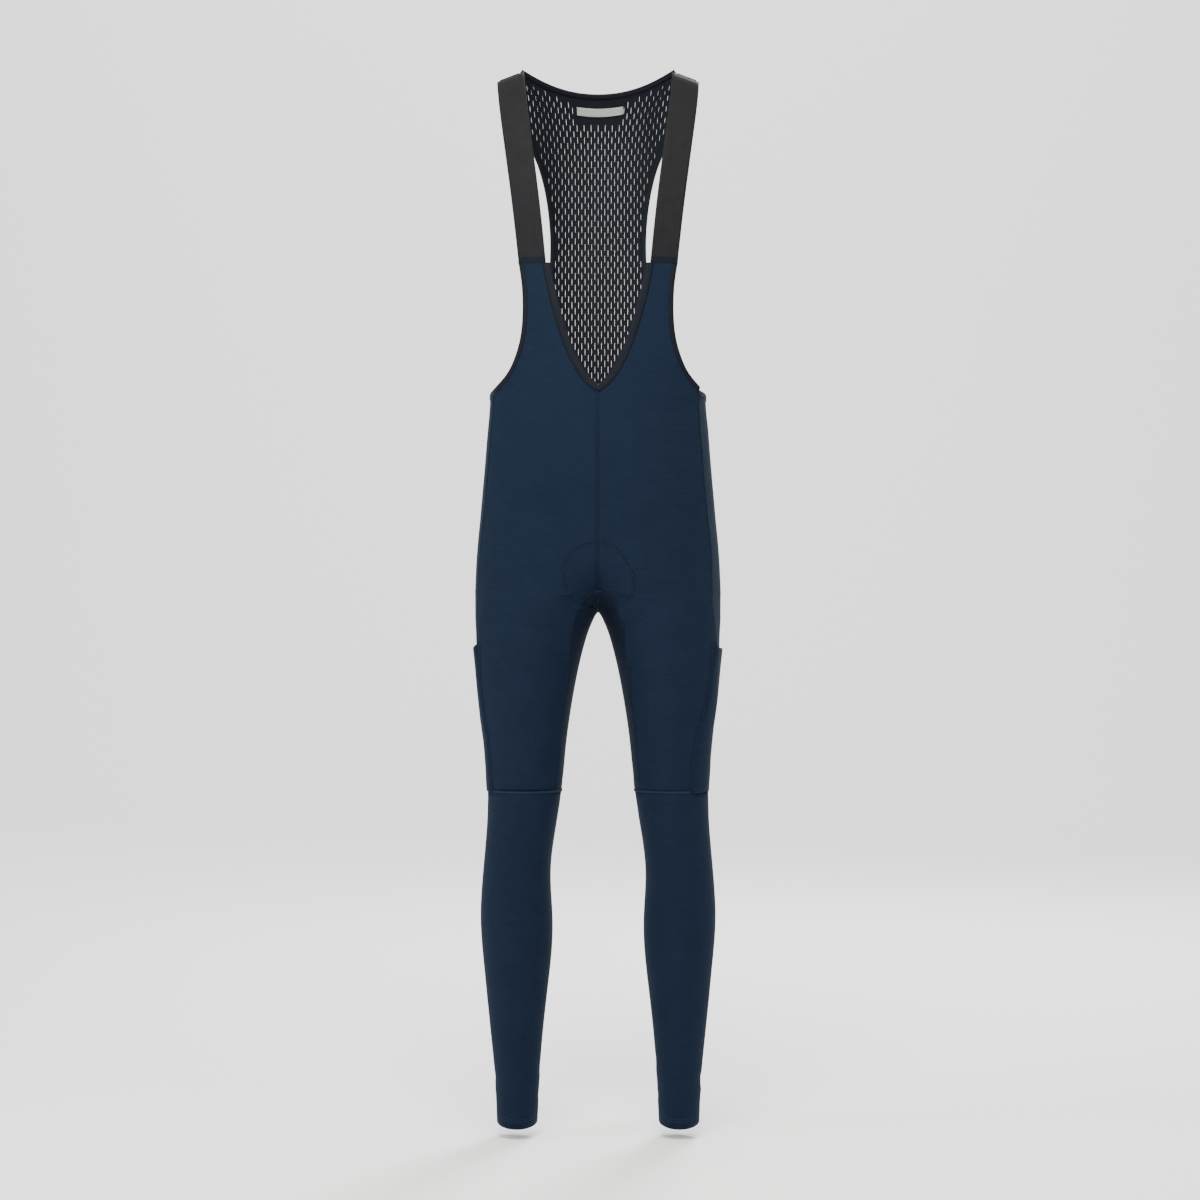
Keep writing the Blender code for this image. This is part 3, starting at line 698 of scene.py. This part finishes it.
def spaced(line, step):
    """The same line with its points set evenly, about one step apart."""
    along = np.concatenate([[0], np.cumsum(np.linalg.norm(np.diff(line, axis=0), axis=1))])
    at = np.linspace(0, along[-1], max(2, int(along[-1] / step) + 1))
    return np.stack([np.interp(at, along, line[:, k]) for k in range(3)], axis=1)


def smoothed(line, rounds=2):
    for _ in range(rounds):
        inner = (line[:-2] + 2 * line[1:-1] + line[2:]) / 4
        line = np.concatenate([line[:1], inner, line[-1:]])
    return line


# %% [markdown]
# Sewing lies on the outside of the cloth. A search tree of the outer faces alone keeps it from
# falling on a rim or an inside, which a tree of whole shells would allow.

# %% A surface to lay the sewing on
FACES_OUT = 0.3
START_OUT = 0.004


def surface_of(names):
    """The outer faces of some shells, without their rims and insides."""
    places, faces = [], []
    for name in names:
        mesh = shells[name].data
        centres = np.array([face.center[:] for face in mesh.polygons])
        normals = np.array([face.normal[:] for face in mesh.polygons])
        keep = (outward(centres) * normals).sum(axis=1) > FACES_OUT
        base = len(places)
        places += [vertex.co.copy() for vertex in mesh.vertices]
        faces += [[base + i for i in face.vertices] for face, kept in zip(mesh.polygons, keep) if kept]
    return BVHTree.FromPolygons(places, faces)


cloth = surface_of([n for n in PANELS if not n.startswith("pocket")])


def lie_on(tree, line, lift):
    """A line dropped onto the outside of the cloth, with the cloth's normals."""
    out = outward(line)
    places, normals = [], []
    for point, away in zip(line, out):
        start = Vector(point) + Vector(away) * START_OUT
        place, normal, _, _ = tree.find_nearest(start)
        if normal.dot(Vector(away)) < 0:
            normal = -normal
        places.append(place + normal * lift)
        normals.append(normal)
    return np.array(places), np.array(normals)


def seen_from(tree, starts, way, facing=0.0):
    """Where looks along one way meet a surface that faces them, and its normals there."""
    places, normals = [], []
    for start in starts:
        hit, normal, _, _ = tree.ray_cast(Vector(start), Vector((0, way, 0)))
        if hit is not None and abs(normal.y) > facing:
            places.append(hit)
            normals.append(normal if normal.y * way < 0 else -normal)
    return np.array(places), np.array(normals)


# %% [markdown]
# ## Sewing
# Sports seams are flatlocked: the two cut edges lie side by side, a thread zigzags over them and
# a low ridge shows. Each seam here is a low band of cloth with a zigzag of thread on it. A band
# is a strip with a rounded top, and a thread is a line given a small square section.

# %% Bands and threads
SEWING_SMOOTH = math.radians(60)
BAND_SINK = 0.0001


def strip_mesh(places, normals, profile):
    """A strip along a line. The profile lists how far each of its points lies across and up."""
    along = np.gradient(places, axis=0)
    side = np.cross(along, normals)
    side /= np.maximum(np.linalg.norm(side, axis=1, keepdims=True), 1e-9)
    points = np.concatenate([places[:, None] + side[:, None] * a + normals[:, None] * b
                             for a, b in profile], axis=1)
    count = len(profile)
    faces = []
    for i in range(len(places) - 1):
        for k in range(count):
            n = (k + 1) % count
            faces.append((i * count + k, i * count + n, (i + 1) * count + n, (i + 1) * count + k))
    faces.append(tuple(range(count))[::-1])
    faces.append(tuple((len(places) - 1) * count + k for k in range(count)))
    return points.reshape(-1, 3), faces


class Sewing:
    """Many strips gathered into one piece."""

    def __init__(self, name):
        self.name, self.points, self.faces, self.total = name, [], [], 0

    def add(self, places, normals, profile):
        points, faces = strip_mesh(places, normals, profile)
        self.points.append(points)
        self.faces += [tuple(i + self.total for i in face) for face in faces]
        self.total += len(points)

    def finish(self, material, slot):
        mesh = bpy.data.meshes.new(self.name)
        mesh.from_pydata([tuple(p) for p in np.concatenate(self.points)], [], self.faces)
        piece = add_object(self.name, mesh)
        only(piece)
        bpy.ops.object.mode_set(mode="EDIT")
        bpy.ops.mesh.select_all(action="SELECT")
        bpy.ops.mesh.normals_make_consistent(inside=False)
        bpy.ops.object.mode_set(mode="OBJECT")
        bpy.ops.object.shade_smooth_by_angle(angle=SEWING_SMOOTH)
        give(piece, material, slot)
        return piece


def band_profile(width, height):
    half = width / 2
    shoulder = (half * 0.5, height * 0.7)
    return ((-half, -BAND_SINK), (-shoulder[0], shoulder[1]), (0, height), shoulder, (half, -BAND_SINK))


def thread_profile(size):
    half = size / 2
    return ((-half, 0), (0, half), (half, 0), (0, -half))


def zigzag(places, normals, width, pitch):
    """A thread's path that swings from side to side along a line."""
    fine = spaced(places, pitch / 2)
    at = np.linspace(0, 1, len(fine))
    old = np.linspace(0, 1, len(places))
    up = np.stack([np.interp(at, old, normals[:, k]) for k in range(3)], axis=1)
    side = np.cross(np.gradient(fine, axis=0), up)
    side /= np.maximum(np.linalg.norm(side, axis=1, keepdims=True), 1e-9)
    swing = np.where(np.arange(len(fine)) % 2 == 0, 0.5, -0.5)[:, None] * width
    return fine + side * swing, up


bands = Sewing("seam_bands")
threads = Sewing("seam_threads")
DOWN, ACROSS = 2, 0
BAND_WIDTH = 0.0021
BAND_HEIGHT = 0.00013
THREAD = 0.0003
SEAM_STEP = 0.004
STITCH = 0.0024


def centred(line, places, normals):
    """Move a seam at the middle of the body back over its gap, as it lies on one rim only."""
    normals[:, ACROSS] = 0
    normals /= np.linalg.norm(normals, axis=1, keepdims=True)
    drift = line - places
    return places + drift - normals * (drift * normals).sum(axis=1, keepdims=True)


def flatlock(line, tree=cloth, width=BAND_WIDTH, lift=0.0, middle=False):
    """Sew one seam along a line. A middle seam is kept over its gap."""
    line = spaced(smoothed(line), SEAM_STEP)
    places, normals = lie_on(tree, line, lift)
    if middle:
        places = centred(line, places, normals)
    bands.add(places, normals, band_profile(width, BAND_HEIGHT))
    path, up = zigzag(places, normals, width * 0.8, STITCH)
    threads.add(path + up * (BAND_HEIGHT + THREAD * 0.3), up, thread_profile(THREAD))


# %% [markdown]
# The long seams join front to back, both of them to the inner-leg panel, and left to right at
# the middle. A nearest point lies on one of the two rims of a gap, so the middle seams, which
# the photograph shows best, are moved back over their gap.

# %% Sew the long seams
for side in SIGN:
    flatlock(in_order(seam_middle(f"front_{side}", f"back_{side}"), DOWN))
    for half in ("front", "back"):
        flatlock(in_order(seam_points(f"{half}_{side}", "gusset"), DOWN))
for half in ("front", "back"):
    flatlock(in_order(seam_middle(f"{half}_left", f"{half}_right"), DOWN), middle=True)
print("long seams sewn")

# %% [markdown]
# The knee seam stands out as a ridge. It is looked for a little above the gap between the thigh
# and the lower leg, then set level with the gap. The ridge is a paler copy of the navy knit: a
# painted highlight along its top.

# %% Sew the knees
KNEE = -0.9628
ABOVE_GAP = 0.0012
KNEE_STITCH = (0.0022, 0.0026)


def ring(side_sign, z, tree, count=140):
    """A closed line round a leg at one height, found by looking out from its middle."""
    x, y = axis_at(-z, side_sign)
    line = []
    for i in range(count + 1):
        turn = 2 * math.pi * i / count
        way = Vector((math.cos(turn), math.sin(turn), 0))
        place = tree.ray_cast(Vector((x, y, z)), way)[0]
        if place is not None:
            line.append(place)
    return np.array(line)


RIDGE_HEIGHT = 0.0007
RIDGE = ((-0.0015, -0.0004), (-0.0009, 0.0004), (0, RIDGE_HEIGHT), (0.0009, 0.0004), (0.0015, -0.0004))
ridges = Sewing("knee_ridges")
for side, side_sign in SIGN.items():
    round_knee = ring(side_sign, KNEE + ABOVE_GAP, cloth)
    round_knee[:, 2] = KNEE
    places, normals = lie_on(cloth, round_knee, 0.0)
    places[:, 2] = KNEE
    ridges.add(places, normals, RIDGE)
    path, up = zigzag(places, normals, *KNEE_STITCH)
    threads.add(path + up * RIDGE_HEIGHT, up, thread_profile(THREAD))
print("knees sewn")

# %% [markdown]
# The hem is turned up and held by two rows of cover stitch that show as fine lines. The hem
# hangs lower in front than behind, and the rows follow it.

# %% Sew the hems
HEM = -1.411
HEM_ROWS = (0.010, 0.0135)
HEM_HANG = 0.007
HEM_MIDDLE_Y = 0.030
HEM_HALF_DEPTH = 0.036
for side_sign in SIGN.values():
    for rise in HEM_ROWS:
        places, _ = lie_on(cloth, ring(side_sign, HEM + rise, cloth), 0.0)
        places[:, 2] += HEM_HANG * (places[:, 1] - HEM_MIDDLE_Y) / HEM_HALF_DEPTH
        places, normals = lie_on(cloth, places, 0.0)
        threads.add(places, normals, thread_profile(THREAD))
print("hems sewn")

# %% [markdown]
# ## Pockets
# Each pocket is a patch that is sewn down in front and behind, ends in the knee seam below and
# is left open at its mouth. Its cut edges are pressed flat under the stitching, so the shell is
# thinned to almost nothing there. Two rows of stitches run down the front seam.

# %% Press the pocket edges flat and sew them
PRESS_REACH = 0.009
PRESSED = 0.12
SECOND_ROW = 0.0058
SECOND_WIDTH = 0.0024
SECOND_LIFT = 0.0002
EDGE_LIFT = 0.00045
EDGE_SWING = 0.0026
EDGE_PROFILE = ((-0.0019, -0.0006), (-0.0012, 0.0), (0, 0.0002), (0.0012, 0.0), (0.0019, -0.0006))


def round_leg(out):
    """The level direction round the leg, square to the outward one."""
    return np.stack([-out[:, 1], out[:, 0], np.zeros(len(out))], axis=1)


def rim_centres(piece, facing):
    """Middles of the rim faces that look forward (-1) or backward (1)."""
    centres = np.array([face.center[:] for face in piece.data.polygons])
    normals = np.array([face.normal[:] for face in piece.data.polygons])
    out = outward(centres)
    beside = np.abs((normals * out).sum(axis=1)) < 0.35
    level = np.abs(normals[:, 2]) < 0.6
    turn = (normals * round_leg(out)).sum(axis=1) * np.sign(centres[:, 0])
    return centres[beside & level & (turn * facing > 0.5)]


def press_edges(piece, edge):
    points = points_of(piece)
    rim = tree_of(edge)
    for i, point in enumerate(points):
        away = min(rim.find(point)[2] / PRESS_REACH, 1)
        share = PRESSED + (1 - PRESSED) * away * away * (3 - 2 * away)
        ground = np.array(cloth.find_nearest(Vector(point))[0])
        points[i] = ground + (point - ground) * share
    set_points(piece, points)


def sew_edge(edge):
    """Sew one pressed edge down, and return its line."""
    line = smoothed(in_order(edge, DOWN), 4)
    places, normals = lie_on(cloth, spaced(line, SEAM_STEP), EDGE_LIFT)
    bands.add(places, normals, EDGE_PROFILE)
    path, up = zigzag(places, normals, EDGE_SWING, STITCH)
    threads.add(path + up * EDGE_LIFT * 0.5, up, thread_profile(THREAD))
    return line


for side in SIGN:
    pocket = shells[f"pocket_{side}"]
    front, back = rim_centres(pocket, -1), rim_centres(pocket, 1)
    press_edges(pocket, np.concatenate([front, back]))
    pressed = surface_of([f"pocket_{side}", f"front_{side}", f"back_{side}"])
    line = sew_edge(front)
    beside = line + round_leg(outward(line)) * np.sign(line[:, :1]) * SECOND_ROW
    flatlock(beside, pressed, SECOND_WIDTH, SECOND_LIFT)
    sew_edge(back)
print("pockets sewn")

# %% [markdown]
# ## Strap ends
# The elastic is turned under where it meets the bib, which gives a thicker end held by two rows
# of stitches. The turned end also covers the raw top of the bib.

# %% Sew the strap ends
strap_faces = surface_of(["strap_left", "strap_right"])
STRAP_END = 0.268
FOLD = 0.0088
FOLD_TOP = 0.0006
FOLD_PROFILE = ((-FOLD / 2, -0.001), (-FOLD / 2, FOLD_TOP), (FOLD / 2, FOLD_TOP), (FOLD / 2, -0.001))
FOLD_LEVEL = -STRAP_END + FOLD / 2 - 0.0008
FOLD_ROWS = (-0.0026, 0.0030)
ACROSS_STRAP = np.linspace(0.060, 0.112, 105)
folds = Sewing("strap_folds")
dark_threads = Sewing("strap_threads")
for side_sign in SIGN.values():
    starts = [(x * side_sign, -0.3, FOLD_LEVEL) for x in ACROSS_STRAP]
    places, normals = seen_from(strap_faces, starts, 1, 0.5)
    folds.add(places, normals, FOLD_PROFILE)
    for rise in FOLD_ROWS:
        line = places + normals * (FOLD_TOP + 0.0001) + np.array([0, 0, rise])
        dark_threads.add(line, normals, thread_profile(THREAD))
print("strap ends sewn")

# %% [markdown]
# ## Cover stitch on the neck tape
# The tape of the front neck is held by two rows of stitches, one close to each edge. They follow
# the seam between the tape and the bib, shifted across the tape.

# %% Sew the neck tape
tape_faces = surface_of(["binding_neck_front"])
TAPE_ROWS = (0.0016, 0.0079)
NEAR_MIDDLE = 0.0004
for side, side_sign in SIGN.items():
    edge = smoothed(in_order(seam_points("binding_neck_front", f"front_{side}"), DOWN), 3)
    places, normals = lie_on(tape_faces, spaced(edge, 0.003), 0.0)
    across = np.cross(np.gradient(places, axis=0), normals)
    across /= np.maximum(np.linalg.norm(across, axis=1, keepdims=True), 1e-9)
    across *= -np.sign(across[:, :1] * side_sign)
    for row in TAPE_ROWS:
        line = places + across * row
        line = line[line[:, 0] * side_sign > NEAR_MIDDLE]
        row_places, row_normals = lie_on(tape_faces, line, 0.0001)
        dark_threads.add(row_places, row_normals, thread_profile(THREAD))
print("neck tape sewn")

# %% [markdown]
# ## The pad's stitching
# A pad is sewn inside the fork. Only its zigzag shows outside: an oval in front that runs down
# beside the inner-leg panel, and a wider one over the seat. Their corners are given in
# millimetres: across from the middle, and down from the shoulders.

# %% Sew the pad's outline
PAD_FRONT = ((-21, 720), (-29, 715), (-40.6, 701), (-46.2, 682), (-45, 661), (-33.2, 641), (-18, 634),
             (0, 632), (16, 636), (28.6, 644), (40.4, 661), (48.9, 682), (48, 698), (38, 715), (28.6, 727))
PAD_BACK = ((-34, 738), (-52, 716), (-63, 690), (-66, 662), (-60, 636), (-42, 618), (-20, 611),
            (0, 610), (20, 611), (42, 618), (60, 636), (66, 662), (63, 690), (52, 716), (34, 738))
PAD_STITCH = (0.0052, 0.0048, 0.0006)
ROUNDING = 40


def rounded(corners, count=160):
    """A smooth open curve near a few points."""
    corners = np.array(corners, float)
    at = np.linspace(0, len(corners) - 1, count)
    fine = np.stack([np.interp(at, np.arange(len(corners)), corners[:, k]) for k in (0, 1)], axis=1)
    for _ in range(ROUNDING):
        fine[1:-1] = (fine[:-2] + fine[2:]) / 2
    return fine


for corners, way in ((PAD_FRONT, 1), (PAD_BACK, -1)):
    starts = [(x, -0.4 * way, -drop) for x, drop in rounded(corners) * MM]
    places, normals = seen_from(cloth, starts, way)
    width, pitch, size = PAD_STITCH
    path, up = zigzag(places, normals, width, pitch)
    threads.add(path + up * 0.0002, up, thread_profile(size))
print("pad stitching laid")

# %% [markdown]
# ## Bar tacks at the fork
# Three panels meet in front of and behind the fork. A short dense bar of stitches holds the
# point where their seams cross.

# %% Sew the bar tacks
TACK_WIDTH, TACK_BELOW, TACK_POINTS = 0.011, 0.0025, 9
TACK_PROFILE = ((-0.0022, -0.0012), (-0.0014, 0.0004), (0, 0.0006), (0.0014, 0.0004), (0.0022, -0.0012))
for half, way in (("front", 1), ("back", -1)):
    level = seam_points(f"{half}_left", "gusset")[:, 2].max() - TACK_BELOW
    starts = [(x, -0.4 * way, level) for x in (-TACK_WIDTH / 2, TACK_WIDTH / 2)]
    ends, _ = seen_from(cloth, starts, way)
    normals = np.tile((0.0, -way, 0.0), (TACK_POINTS, 1))
    bands.add(np.linspace(ends[0], ends[1], TACK_POINTS), normals, TACK_PROFILE)
print("bar tacks sewn")

# %% [markdown]
# All strips of one finish become one piece, so the sewing adds five pieces and not hundreds.

# %% Finish the sewing
seam_bands = bands.finish(navy_knit, "thermal_navy")
# The knee ridges wear the paler knit: painted highlight.
knee_ridges = ridges.finish(painted_highlight_knit, "thermal_navy")
seam_threads = threads.finish(navy_thread, "thermal_navy")
strap_folds = folds.finish(slate_tape, "elastic_charcoal")
strap_threads = dark_threads.finish(black_thread, "binding_black")
for piece in (seam_bands, knee_ridges, seam_threads, strap_folds, strap_threads):
    print("sewing faces:", piece.name, len(piece.data.polygons))

# %% [markdown]
# ## Camera, light and floor
# The photograph looks straight at the front from about 4 m, level with the fork. The camera's
# lens is worked out from the width of the picture at that distance.

# %% Camera
MM_PER_PIXEL = 1.34
PIXELS = 1200
FRAME_WIDTH = PIXELS * MM_PER_PIXEL * MM
SENSOR = 36
CAMERA_AWAY = 4.0
CAMERA_AT = (0.0025, -CAMERA_AWAY, -0.709)
camera_data = bpy.data.cameras.new("camera")
camera_data.sensor_width = SENSOR
camera_data.lens = SENSOR * CAMERA_AWAY / FRAME_WIDTH
camera = add_object("camera", camera_data)
camera.location = CAMERA_AT
camera.rotation_euler = (math.radians(90), 0, 0)
bpy.context.scene.camera = camera


# %% [markdown]
# Two tall side lights graze the cloth and raise its edges, and a broad front light fills the
# rest. A smaller one near the chest makes the bib paler than the legs, as in the photograph, and
# one behind shapes the seat and the backs of the knees.

# %% Lights
def area_light(name, place, target, size, power, colour=(1, 1, 1)):
    data = bpy.data.lights.new(name, "AREA")
    data.shape = "RECTANGLE"
    data.size, data.size_y = size
    data.energy = power
    data.color = colour
    light = add_object(name, data)
    light.location = place
    way = Vector(target) - Vector(place)
    light.rotation_euler = way.to_track_quat("-Z", "Y").to_euler()
    return light


MIDDLE = (0, 0, -0.70)
COOL = (0.9, 1.0, 1.0)
WARM = (1.0, 1.0, 0.86)
area_light("left_side", (-2.4, -0.9, -0.5), MIDDLE, (1.0, 2.6), 50, COOL)
area_light("right_side", (1.9, -1.8, -0.5), MIDDLE, (1.0, 2.6), 22, COOL)
area_light("front", (0.0, -3.4, 1.0), (0, 0, -0.50), (2.4, 1.6), 39)
area_light("behind", (0.9, 2.6, 1.3), (0, 0, -0.75), (0.9, 0.9), 130)
area_light("chest", (-0.1, -1.15, 0.55), (0, 0, -0.36), (0.7, 0.5), 40, WARM)

# %% [markdown]
# The floor sweeps up into a tall backdrop without an edge, as paper hung in a studio does.

# %% Floor and backdrop
FLOOR = -1.432
SWEEP_HALF = 14.0
SWEEP_FRONT = -9.0
SWEEP_BEND_AT = 5.5
SWEEP_RADIUS = 3.0
SWEEP_TOP = 8.0
SWEEP_STEPS = 24


def sweep_profile():
    bend = [(SWEEP_BEND_AT + SWEEP_RADIUS * math.sin(math.pi / 2 * i / SWEEP_STEPS),
             FLOOR + SWEEP_RADIUS * (1 - math.cos(math.pi / 2 * i / SWEEP_STEPS)))
            for i in range(SWEEP_STEPS + 1)]
    return [(SWEEP_FRONT, FLOOR)] + bend + [(SWEEP_BEND_AT + SWEEP_RADIUS, SWEEP_TOP)]


profile = sweep_profile()
sweep_points = [(side * SWEEP_HALF, y, z) for y, z in profile for side in (-1, 1)]
sweep_faces = [(2 * i, 2 * i + 1, 2 * i + 3, 2 * i + 2) for i in range(len(profile) - 1)]
sweep_mesh = bpy.data.meshes.new("studio_sweep")
sweep_mesh.from_pydata(sweep_points, [], sweep_faces)
sweep = add_object("studio_sweep", sweep_mesh)
only(sweep)
bpy.ops.object.shade_smooth()
paper = new_material("white_paper", (0.93, 0.93, 0.93), 0.9)[0]
sweep_mesh.materials.append(paper)
area_light("sweep_light", (0, 3.6, 4.2), (0, 8.0, 0.0), (7.0, 2.0), 420)

# %% [markdown]
# A white studio sends light from everywhere. An even world does the same, and keeps the dark
# cloth from going black where no lamp reaches.

# %% Light all round
ROOM_LIGHT = 0.9
world = bpy.data.worlds.new("studio")
world.use_nodes = True
world.node_tree.nodes["Background"].inputs["Color"].default_value = (1, 1, 1, 1)
world.node_tree.nodes["Background"].inputs["Strength"].default_value = ROOM_LIGHT
bpy.context.scene.world = world
